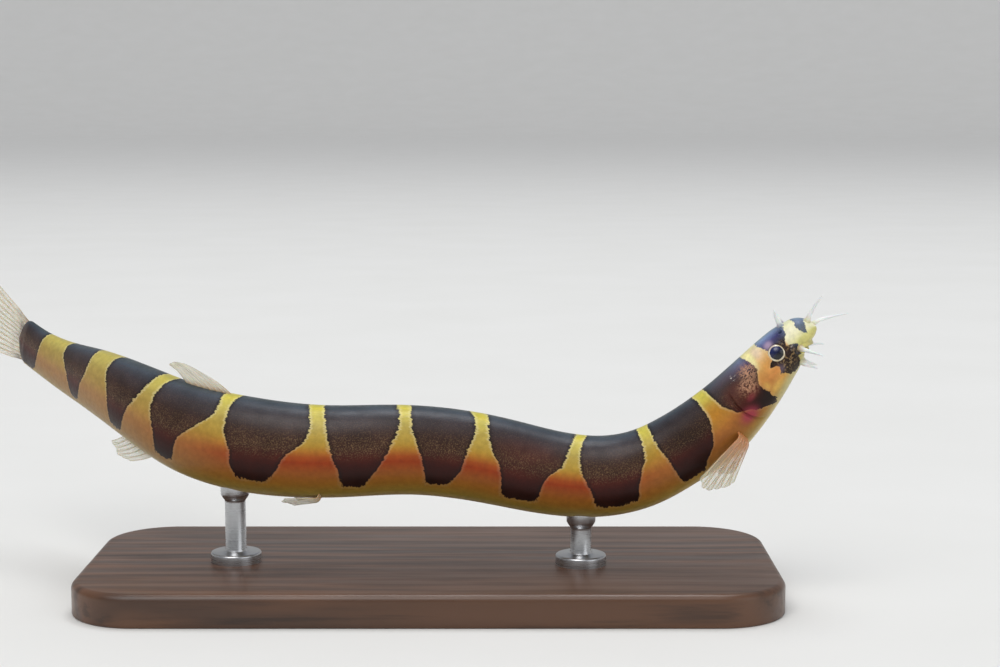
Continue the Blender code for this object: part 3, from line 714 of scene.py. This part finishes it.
def make_barbel(name, barbel, material):
    """A soft feeler, broad where it leaves the skin and drawn out to a fine tip."""
    points, ways, free = barbel_line(*barbel)
    _, _, right, _ = frame_at(barbel[0])
    bm = bmesh.new()
    bmesh.ops.create_circle(bm, cap_ends=True, radius=1, segments=BARBEL_SIDES)
    angle = bm.verts.layers.float.new("angle")
    reach = bm.verts.layers.float.new("reach")
    for vert in bm.verts:
        vert[angle] = math.atan2(vert.co.y, vert.co.x)
    face = bm.faces[:][0]
    count = len(points)
    for number, (centre, way) in enumerate(zip(points, ways)):
        if number:
            made = bmesh.ops.extrude_face_region(bm, geom=[face])["geom"]
            if number > 1:
                bmesh.ops.delete(bm, geom=[face], context="FACES_ONLY")
            face = next(item for item in made if isinstance(item, bmesh.types.BMFace))
        share = number / (count - 1)
        wide = thin = BARBEL_TIP + (BARBEL_ROOT - BARBEL_TIP) * (1 - share) ** 0.9
        if name.startswith("nasal"):
            wide = FLAP_ROOT * (1 - share) ** 0.8 + 0.03
            thin = wide * FLAP_FLATNESS + 0.03
        size = 1 + BARBEL_FLARE * float(bump(max(free[number], 0), 0.26))
        size *= TIP_TAPER ** max(number - count + 3, 0)
        first = unit(np.cross(way, right))
        second = np.cross(way, first)
        for vert in face.verts:
            across, along = wide * size * math.cos(vert[angle]), thin * size * math.sin(vert[angle])
            vert.co = (centre + first * across + second * along) * MM
            vert[reach] = share
    mesh = to_mesh(name, bm)
    root_colour = colour(BARBEL_TINTS[name.split("_")[0]])[:3]
    store(mesh, tint=np.tile(root_colour, (len(mesh.vertices), 1)))
    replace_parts(finish_mesh(name + "_feeler", mesh, material), name)


def make_eye(name, side, material):
    """An eyeball with a raised pupil and a sunken ring of iris."""
    centre, outward = eye_place(side)
    bm = bmesh.new()
    bmesh.ops.create_uvsphere(bm, u_segments=EYE_SEGMENTS, v_segments=EYE_SEGMENTS, radius=1)
    ball = np.array([vert.co for vert in bm.verts])
    mesh = to_mesh(name, bm)
    radius = np.linalg.norm(ball[:, :2], axis=1) * EYE_RADIUS
    front = ball[:, 2] > 0
    sunk = IRIS_SUNK * fade(np.abs(radius - (PUPIL_RADIUS + IRIS_RADIUS) / 2), 0.0, 0.08)
    height = ball[:, 2] * EYE_RADIUS * EYE_FLATNESS - np.where(front, sunk, 0.0)
    _, _, _, up = frame_at(EYE_AT)
    across = unit(np.cross(up, outward))
    upward = np.cross(outward, across)
    flat = ball[:, :2] * EYE_RADIUS
    move_vertices(mesh, centre + across * flat[:, :1] + upward * flat[:, 1:] + outward * height[:, None])
    store(mesh, radius=np.where(front, radius, EYE_RADIUS), upward=ball[:, 1])
    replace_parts(finish_mesh(name + "_ball", mesh, material), name)


def make_base(material):
    """A flat walnut plate with rounded corners and a softened top edge."""
    bm = bmesh.new()
    bmesh.ops.create_cube(bm, size=1)
    bmesh.ops.translate(bm, vec=(0, 0, 0.5), verts=bm.verts)
    bmesh.ops.scale(bm, vec=(BASE["length"], BASE["width"], BASE["height"]), verts=bm.verts)
    for part, segments, chosen in (
        ("corner", 24, lambda low, high: high - low > 1),
        ("edge", 8, lambda low, high: low > BASE["height"] - 0.01),
        ("foot", 3, lambda low, high: high < 0.01),
    ):
        edges = [e for e in bm.edges if chosen(*sorted(v.co.z for v in e.verts))]
        bmesh.ops.bevel(
            bm, geom=edges, offset=BASE[part], segments=segments, profile=0.5, affect="EDGES", material=-1
        )
    piece = finish_mesh("walnut_base", to_mesh("walnut_base", bm, MM), material, sharp=35)
    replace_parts(piece, "stand_base")


def belly_over(place):
    """How far along the fish the belly passes over a place of the base."""
    at = np.linspace(HEAD_END, BODY_LENGTH, 3000)
    x = plain_skin(at, 0.0)[:, 0]
    return at[np.argmin(np.abs(x - place))]


def make_rod(name, place, material):
    """A turned rod with a collar at its foot and a small cradle that follows the belly."""
    at = belly_over(place)
    _, middle, end = plain_skin(at, 0.0)
    foot = BASE["height"] - 0.1
    low = end - CRADLE["height"]
    soft, wide = COLLAR_EDGE, CRADLE["radius"]
    collar = BASE["height"] + COLLAR_HEIGHT
    profile = [(0, foot), (COLLAR_RADIUS, foot), (COLLAR_RADIUS, collar - soft)]
    for angle in np.radians(range(15, 91, 15)):
        round_off = soft * (1 - math.cos(angle))
        profile.append((COLLAR_RADIUS - round_off, collar - soft + soft * math.sin(angle)))
    profile += [(ROD_RADIUS + 0.35, collar), (ROD_RADIUS + 0.1, collar + 0.08), (ROD_RADIUS, collar + 0.3)]
    profile += [(ROD_RADIUS, low + (end - low) * i / 8 - 0.01 * i) for i in range(3)]
    for share in np.arange(1, 7) / 6:
        profile.append((ROD_RADIUS + (wide - ROD_RADIUS) * share, low + 0.4 + 0.5 * share**1.5))
    profile += [(wide * share, end) for share in (1, 0.75, 0.5, 0.25, 0)]
    bm = bmesh.new()
    verts = [bm.verts.new((radius, 0, height)) for radius, height in profile]
    edges = [bm.edges.new(pair) for pair in zip(verts, verts[1:])]
    bmesh.ops.spin(
        bm, geom=verts + edges, cent=(0, 0, 0), axis=(0, 0, 1), angle=math.tau, steps=LATHE_STEPS,
        use_merge=True,
    )
    bmesh.ops.remove_doubles(bm, verts=bm.verts, dist=0.001)
    rise, shelf = saddle(at)
    for vert in bm.verts:
        if vert.co.z > end - 0.001:
            vert.co.z += rise * vert.co.x + shelf * vert.co.y**2 + CRADLE["sunk"]
    bmesh.ops.translate(bm, vec=(place, middle, 0), verts=bm.verts)
    piece = finish_mesh(name + "_turned", to_mesh(name, bm, MM), material, sharp=35)
    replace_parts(piece, name)


def saddle(at):
    """The belly's slope along the base over a rod, and how quickly it rises to either side."""
    near = plain_skin(np.array([at - 0.5, at + 0.5]), 0.0)
    back, belly, half = outline_at(at)
    run, _, rise = near[0] - near[1]
    return rise / run, (back + belly) / half**2 / 4


# Materials


def colour(code):
    """A colour written as on a paint chart, made linear."""
    values = [int(code[i:i + 2], 16) / 255 for i in (0, 2, 4)]
    return tuple(v / 12.92 if v <= 0.04045 else ((v + 0.055) / 1.055) ** 2.4 for v in values) + (1.0,)


def feed(node, inputs):
    """Sets inputs of a node, each to a value, a colour or another node's output."""
    for key, value in inputs.items():
        if isinstance(value, bpy.types.NodeSocket):
            node.id_data.links.new(value, node.inputs[key])
        else:
            node.inputs[key].default_value = colour(value) if isinstance(value, str) else value


def add(kind, inputs, **settings):
    """A node beside those that feed it."""
    tree = next(value.id_data for value in inputs.values() if isinstance(value, bpy.types.NodeSocket))
    node = tree.nodes.new("ShaderNode" + kind)
    for key, value in settings.items():
        setattr(node, key, value)
    feed(node, inputs)
    return node


def new_material(name, soft=0.0, **values):
    """A material and its shader: how much light sinks in, and its other constant values."""
    material = bpy.data.materials.new(name)
    material.use_nodes = True
    shader = material.node_tree.nodes["Principled BSDF"]
    feed(shader, {"Subsurface Weight": soft, "Subsurface Scale": SOFT_DEPTH})
    feed(shader, {key.replace("_", " "): value for key, value in values.items()})
    return material, shader


def value_of(near, name, output="Fac"):
    """What the mesh stores under this name, in the tree of a node or socket."""
    node = near.id_data.nodes.new("ShaderNodeAttribute")
    node.attribute_name = name
    return node.outputs[output]


def spot_of(near):
    return near.id_data.nodes.new("ShaderNodeTexCoord").outputs["Object"]


def math_of(operation, *values):
    return add("Math", dict(enumerate(values)), operation=operation).outputs[0]


def times(first, second):
    return math_of("MULTIPLY", first, second)


def ramp(value, stops):
    """A colour, or a grey, that changes with a value: stops gives the place of each shade."""
    node = add("ValToRGB", {"Fac": value})
    elements = node.color_ramp.elements
    while len(elements) < len(stops):
        elements.new(0.5)
    for element, (place, shade) in zip(elements, stops.items()):
        element.position = place
        element.color = colour(shade) if isinstance(shade, str) else (shade, shade, shade, 1)
    return node.outputs["Color"]


def mix(share, first, second, how="MIX"):
    inputs = {"Factor": share, 6: first, 7: second}
    return add("Mix", inputs, data_type="RGBA", blend_type=how, clamp_factor=True).outputs[2]


def toned(shade, tone):
    return mix(1.0, shade, tone, "MULTIPLY")


def tinted(shade, *names, where=None):
    """A shade with the tints of these names laid over it, thinned where asked."""
    for name in names:
        code, share, _ = PATCHES[name]
        share = times(value_of(shade, name), share)
        if where:
            share = times(share, where)
        shade = mix(share, shade, code)
    return shade


def noise(vector, scale, detail=3.0, rough=0.5, squash=(1, 1, 1)):
    placed = add("Mapping", {"Vector": vector, "Scale": squash}).outputs["Vector"]
    inputs = {"Vector": placed, "Scale": scale, "Detail": detail, "Roughness": rough}
    return add("TexNoise", inputs).outputs["Fac"]


def spread(value, low, high, to_low=0.0, to_high=1.0):
    """A value stretched smoothly from one range to another."""
    inputs = {"Value": value, "From Min": low, "From Max": high, "To Min": to_low, "To Max": to_high}
    return add("MapRange", inputs, interpolation_type="SMOOTHSTEP").outputs["Result"]


def shifted(depth, value, share):
    """A depth moved to and fro by a share of a value that runs from 0 to 1."""
    return math_of("MULTIPLY_ADD", math_of("SUBTRACT", value, 0.5), share, depth)


def bumped(height, strength, depth):
    inputs = {"Height": height, "Strength": strength, "Distance": depth}
    return add("Bump", inputs).outputs["Normal"]


def skin_material():
    """Banded skin: the bands' toothed edges, their colour from back to belly, and the face's patches. The
    bands' bluish grey back is painted sheen; painted shade darkens the gaps' lower flank, the creases and
    the band 12 to 17 mm from the snout.
    """
    material, shader = new_material(
        "loach_skin", soft=0.04, Coat_Weight=0.06, Coat_Roughness=0.26, Specular_IOR_Level=0.18,
    )
    straight = value_of(shader, "straight", "Vector")
    height, face, snout = (value_of(shader, name) for name in ("height", "face", "snout"))
    shades = {name: ramp(height, stops) for name, stops in SKIN_COLOURS.items()}
    ragged = noise(straight, 3.6, 3.0, 0.6)
    fine = noise(straight, 9.0, 3.0, 0.6)

    # how deep in a band each place lies: toothed along the flank, fringed below and torn on the face
    teeth = noise(straight, 7.5, 1.0, 0.5, (0.3, 1, 1))
    tooth_size = times(value_of(shader, "toothed"), spread(height, 0.4, 0.54, 0.22, 0.5))
    depth = shifted(value_of(shader, "band"), teeth, tooth_size)
    depth = math_of("MULTIPLY_ADD", noise(straight, 0.9, 2.0), 0.3, depth)
    fringe = noise(straight, 8.0, 1.0, 0.5, (1, 0.25, 0.25))
    depth = shifted(depth, fringe, spread(height, 0.4, 0.34, 0.0, 0.55))
    depth = shifted(depth, ragged, times(face, 0.36))
    band = spread(depth, 0.11, 0.19)
    inside = spread(depth, 0.15, 0.6)
    edge = spread(depth, -0.15, 0.1)

    # the gaps between the bands, with a pale line beside each band's upper edge
    gap = mix(value_of(shader, "blush"), shades["gap_calm"], shades["gap_body"])
    gap = mix(face, gap, shades["gap_face"])
    gap = tinted(gap, "rosy", "yellow", "amber", "gold")
    gap = mix(spread(snout, 0.0, 0.3), gap, shades["gap_snout"])
    gap = tinted(gap, "rear")
    gap = toned(gap, spread(noise(straight, 2.2, 4.0, 0.6), 0.2, 0.8, 0.84, 1.12))
    above = spread(height, 0.45, 0.65, 0.05, 0.26)
    gap = mix(times(edge, above), gap, "f4ecc0")

    # the bands themselves, stippled along the flank and darkest at their rim
    dark = mix(face, shades["dark_body"], shades["dark_face"])
    dark = mix(times(snout, 0.5), dark, "8299ae")
    at_side = ramp(height, {0.47: 0.0, 0.54: 0.9, 0.6: 0.75, 0.68: 0.25, 0.9: 0.1})
    stippled = times(spread(noise(straight, 12.0, 1.0), 0.52, 0.64), at_side)
    dark = mix(times(stippled, 0.55), dark, "8f7250")
    dark = tinted(dark, "wine")
    dark = toned(dark, spread(noise(straight, 0.55), 0.25, 0.75, 0.75, 1.15))
    dark = toned(dark, spread(fine, 0.2, 0.8, 0.8, 1.15))
    near_rim = math_of("SUBTRACT", 1.0, inside)
    dark = mix(times(near_rim, spread(face, 0.0, 1.0, 0.65, 0.2)), dark, "160b08")
    speck = spread(noise(straight, 5.5, 2.0), 0.5, 0.62)
    dark = tinted(dark, "speckle", where=speck)
    # ink_and_shade lays dark marks, and painted shade over the band 12 to 17 mm from the snout
    dark = tinted(dark, "lilac", "ink_and_shade")

    base = mix(band, gap, dark)
    mottle = spread(noise(straight, 7.0, 3.0, 0.7, (0.7, 1.3, 1)), 0.4, 0.56)
    base = tinted(base, "copper", where=mottle)
    base = tinted(base, "gill_red")
    # a painted glint high on the flank behind the eye, and a pale fleck behind the mouth's corner
    base = tinted(base, "glint_and_pale_fleck", where=spread(ragged, 0.56, 0.62))
    # painted shade in the mouth's line and under the gill cover's edge
    base = tinted(base, "crease")

    inputs = {"Vector": straight, "Scale": 4.2}
    scales = add("TexVoronoi", inputs, feature="SMOOTH_F1").outputs["Distance"]
    relief = math_of("MULTIPLY_ADD", fine, 0.5, scales)
    gloss = spread(noise(straight, 3.0), 0.2, 0.8, 0.28, 0.44)
    feed(shader, {"Base Color": base, "Roughness": gloss, "Normal": bumped(relief, 0.35, 0.00002)})
    return material


def fin_material():
    """Cloudy membrane, clearer between the rays and towards the margin."""
    material, shader = new_material(
        "fin_membrane", soft=0.2, Roughness=0.3, Coat_Weight=0.3, Coat_Roughness=0.15,
    )
    ray, reach, spot = value_of(shader, "ray"), value_of(shader, "reach"), spot_of(shader)
    membrane = mix(noise(spot, 1500.0), "d6d0b2", "ece8d6")
    joints = math_of("FRACT", times(reach, 22.0))
    rays = toned(mix(reach, "bfa46c", "ddd2ac"), spread(joints, 0.0, 0.22, 0.7, 1.0))
    shade = mix(ray, membrane, rays)
    shade = mix(spread(reach, 0.0, 0.3, 0.8, 0.0), shade, "c08c50")
    warm = times(value_of(shader, "warm"), spread(reach, 0.1, 0.9, 0.85, 0.1))
    shade = mix(warm, shade, "cc8a56")
    smoke = spread(noise(spot, 900.0), 0.3, 0.62)
    smoke = times(smoke, spread(reach, 0.08, 0.5, 0.85, 0.0))
    smoke = times(smoke, value_of(shader, "dusky"))
    shade = mix(smoke, shade, "3d2c26")
    solid = spread(reach, 0.0, 0.6, 0.8, 0.3)
    for other in (spread(ray, 0.1, 0.9, 0.0, 0.9), smoke):
        solid = math_of("MAXIMUM", solid, other)
    feed(shader, {"Base Color": shade, "Alpha": solid})
    return material


def barbel_material():
    """Soft whitish feelers, a little darker and warmer at the root."""
    material, shader = new_material(
        "feeler", soft=0.25, Roughness=0.32, Coat_Weight=0.3, Coat_Roughness=0.15,
    )
    reach = value_of(shader, "reach")
    pale = mix(noise(spot_of(shader), 4000.0, 2.0), "e4eae9", "f6faf8")
    shade = mix(spread(reach, 0.1, 0.42, 1.0, 0.0), pale, value_of(shader, "tint", "Vector"))
    feed(shader, {"Base Color": shade, "Alpha": spread(reach, 0.3, 1.0, 1.0, 0.82)})
    return material


def eye_material():
    """A deep blue-black pupil in a thin pale ring. The pupil's blue towards its top and the ring's lilac
    top are painted sheen; the ring's darker bottom is painted shade.
    """
    material, shader = new_material(
        "eye", Roughness=0.16, Coat_Weight=0.55, Coat_Roughness=0.02, Specular_IOR_Level=0.3,
    )
    upward = value_of(shader, "upward")
    wander = noise(spot_of(shader), 3500.0)
    wavy = math_of("MULTIPLY_ADD", wander, 0.06, value_of(shader, "radius"))
    # the pupil turns blue towards its top: painted sheen
    pupil = mix(spread(upward, -0.4, 0.6), "07070f", "1a2358")
    ring = mix(spread(wander, 0.35, 0.65), "decba0", "faf0d6")
    # lilac over the ring's top is painted sheen, and drab brown over its bottom is painted shade
    ring = mix(spread(upward, 0.6, 0.85, 0.0, 0.5), ring, "a793ae")
    ring = mix(spread(upward, -0.5, -0.85, 0.0, 0.4), ring, "a08a66")
    inner = spread(wavy, PUPIL_RADIUS + 0.02, PUPIL_RADIUS + 0.05)
    outer = spread(wavy, IRIS_RADIUS + 0.01, IRIS_RADIUS + 0.06)
    feed(shader, {"Base Color": mix(outer, mix(inner, pupil, ring), "3a2c2c")})
    return material


def walnut_material():
    """Dark walnut with its grain along the base, satin lacquered."""
    material, shader = new_material("walnut", Coat_Weight=0.25, Coat_Roughness=0.3)
    spot = spot_of(shader)
    warp = noise(spot, 60.0, 2.0, 0.5, (0.25, 1, 1))
    grain = noise(spot, 900.0, 4.0, 0.65, (0.06, 1, 1))
    drawn_out = add("Mapping", {"Vector": spot, "Scale": (0.12, 1, 1)}).outputs["Vector"]
    inputs = {"Vector": drawn_out, "Scale": 140.0, "Distortion": 9.0, "Detail": 3.0, "Detail Scale": 1.2}
    rings = add("TexWave", inputs, bands_direction="Y").outputs["Fac"]
    wood = mix(rings, "3a2416", "6b452b")
    wood = mix(spread(warp, 0.3, 0.7), wood, "54351f")
    wood = toned(wood, spread(grain, 0.3, 0.5, 0.55, 1.0))
    gloss = spread(grain, 0.3, 0.7, 0.52, 0.36)
    feed(shader, {"Base Color": wood, "Roughness": gloss, "Normal": bumped(grain, 0.25, 0.00003)})
    return material


def steel_material():
    """Fine turned steel: rings of tool marks round the rod."""
    material, shader = new_material("turned_steel", Metallic=1.0)
    marks = noise(spot_of(shader), 9000.0, 2.0, 0.6, (0.01, 0.01, 1.0))
    steel, gloss = mix(marks, "a9aaac", "c6c7c9"), spread(marks, 0.2, 0.8, 0.24, 0.34)
    feed(shader, {"Base Color": steel, "Roughness": gloss, "Normal": bumped(marks, 0.2, 0.00001)})
    return material


# The studio


def make_floor():
    """A pale floor that sweeps up far away on every side."""
    bm = bmesh.new()
    flat_radius, sweep = FLOOR["flat"], FLOOR["sweep"]
    bmesh.ops.create_circle(bm, cap_ends=True, radius=flat_radius, segments=128)
    for step in range(1, FLOOR["steps"] + 1):
        angle = math.pi / 2 * step / FLOOR["steps"]
        reach = flat_radius + sweep * math.sin(angle)
        rise = sweep * (1 - math.cos(angle))
        edges = [e for e in bm.edges if e.is_boundary]
        made = bmesh.ops.extrude_edge_only(bm, edges=edges)["geom"]
        for vert in (item for item in made if isinstance(item, bmesh.types.BMVert)):
            flat = Vector((vert.co.x, vert.co.y, 0)).normalized() * reach
            vert.co = (flat.x, flat.y, rise)
    bmesh.ops.recalc_face_normals(bm, faces=bm.faces)
    mesh = to_mesh("floor", bm)
    mesh.shade_smooth()
    material, shader = new_material("floor_paper", Roughness=0.8)
    feed(shader, {"Base Color": mix(noise(spot_of(shader), 40.0), "e3e2de", "e9e8e5")})
    mesh.materials.append(material)
    place_object("floor", mesh)


def aimed(item, location, target):
    """Puts a light or the camera in its place, looking at its target."""
    location, target = Vector(location), Vector(target)
    item.location = location * MM
    item.rotation_euler = (location - target).to_track_quat("Z", "Y").to_euler()
    return item


def make_studio():
    for name, (location, target, size, power_watts, tint) in LAMPS.items():
        data = bpy.data.lights.new(name, "AREA")
        data.shape = "DISK"
        data.size = size * MM
        data.energy = power_watts
        data.color = tint
        aimed(place_object(name, data), location, target)
    data = bpy.data.lights.new("daylight", "SUN")
    data.energy = 0.7
    data.angle = math.radians(50)
    aimed(place_object("daylight", data), (-0.3, -0.7, 1), (0, 0, 0))
    world = bpy.data.worlds.new("studio")
    world.use_nodes = True
    background = world.node_tree.nodes["Background"]
    background.inputs["Color"].default_value = (0.9, 0.93, 1.0, 1)
    background.inputs["Strength"].default_value = 0.4
    bpy.context.scene.world = world
    bpy.context.scene.view_settings.view_transform = "Standard"


def make_camera():
    data = bpy.data.cameras.new("camera")
    data.lens = CAMERA["lens"]
    data.sensor_width = 36.0
    data.clip_start = 0.002
    data.clip_end = 20.0
    camera = place_object("camera", data)
    bpy.context.scene.camera = aimed(camera, CAMERA["location"], CAMERA["target"])


def main():
    make_skin(skin_material())
    make_fins(fin_material())
    feeler = barbel_material()
    for name, barbel in BARBELS.items():
        make_barbel(name, barbel, feeler)
    eye = eye_material()
    for word, side in SIDES.items():
        make_eye("eye_" + word, side, eye)
    make_base(walnut_material())
    steel = steel_material()
    for name, place in RODS.items():
        make_rod(name, place, steel)
    make_floor()
    make_studio()
    make_camera()


main()
